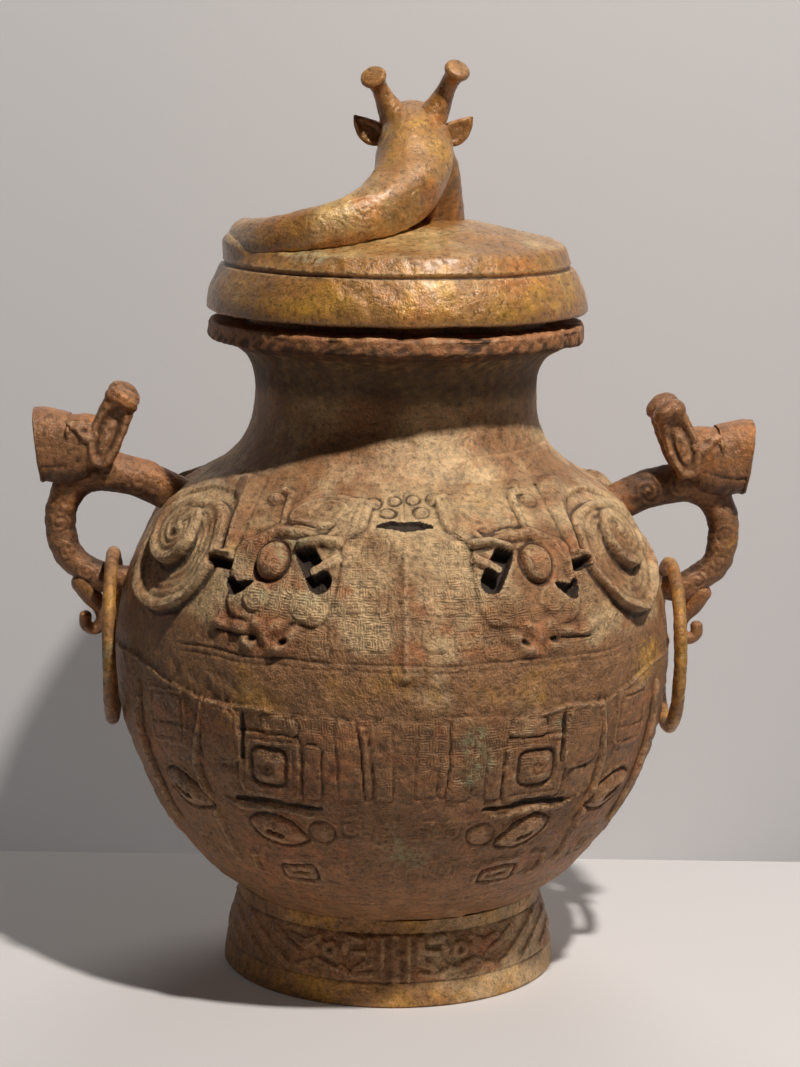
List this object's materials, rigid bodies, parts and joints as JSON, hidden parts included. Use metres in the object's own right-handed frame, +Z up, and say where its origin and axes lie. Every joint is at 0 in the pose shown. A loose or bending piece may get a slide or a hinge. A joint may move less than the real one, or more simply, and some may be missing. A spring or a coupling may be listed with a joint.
{
  "type": "lidded bronze lei wine jar",
  "caption": "Round-shouldered bronze jar on a ring foot, with animal-head ring handles, coiled dragons in relief and a lift-off lid with a coiled dragon.",
  "frame": {"origin": "centre of the ring foot on the ground", "axes": "+Z up along the jar's axis, -Y towards the front with the ridge between two shoulder dragons, +X towards the right ring handle"},
  "size_m": [0.397, 0.3112, 0.4988],
  "materials": {
    "jar_bronze": "dull brown patina, worn edges and traces of green",
    "lid_bronze": "satin golden brown patina with traces of green",
    "handle_bronze": "rusty brown patina, golden where worn"
  },
  "bodies": {
    "vessel": {"jar": "jar_bronze", "foot_ring": "jar_bronze", "dragon_front_right": "jar_bronze", "dragon_front_left": "jar_bronze", "dragon_back_right": "jar_bronze", "dragon_back_left": "jar_bronze", "handle_right": "handle_bronze", "handle_left": "handle_bronze", "handle_head_right": "handle_bronze", "handle_head_left": "handle_bronze", "handle_ear_right_front": "handle_bronze", "handle_ear_right_back": "handle_bronze", "handle_ear_left_front": "handle_bronze", "handle_ear_left_back": "handle_bronze", "rivet_right_upper": "jar_bronze", "rivet_right_lower": "jar_bronze", "rivet_left_upper": "jar_bronze", "rivet_left_lower": "jar_bronze", "tipping_handle": "handle_bronze", "rivet_back_upper": "jar_bronze", "rivet_back_lower": "jar_bronze"},
    "right_ring": {"ring_right": "handle_bronze"},
    "left_ring": {"ring_left": "handle_bronze"},
    "lid_with_dragon": {"lid": "lid_bronze", "dragon_body": "lid_bronze", "dragon_head": "lid_bronze", "horn_left": "lid_bronze", "horn_right": "lid_bronze", "dragon_ear_left": "lid_bronze", "dragon_ear_right": "lid_bronze"}
  },
  "joints": [
    {"name": "lid_lift", "type": "slide", "parent": "vessel", "child": "lid_with_dragon", "axis": [0, 0, 1], "range_m": [0, 0.15]},
    {"name": "ring_right_swing", "type": "hinge", "parent": "vessel", "child": "right_ring", "pos_m": [0.154, 0, 0.2267], "axis": [0, -1, 0], "range_deg": [-1, 90]},
    {"name": "ring_left_swing", "type": "hinge", "parent": "vessel", "child": "left_ring", "pos_m": [-0.154, 0, 0.2267], "axis": [0, 1, 0], "range_deg": [-1, 90]}
  ]
}
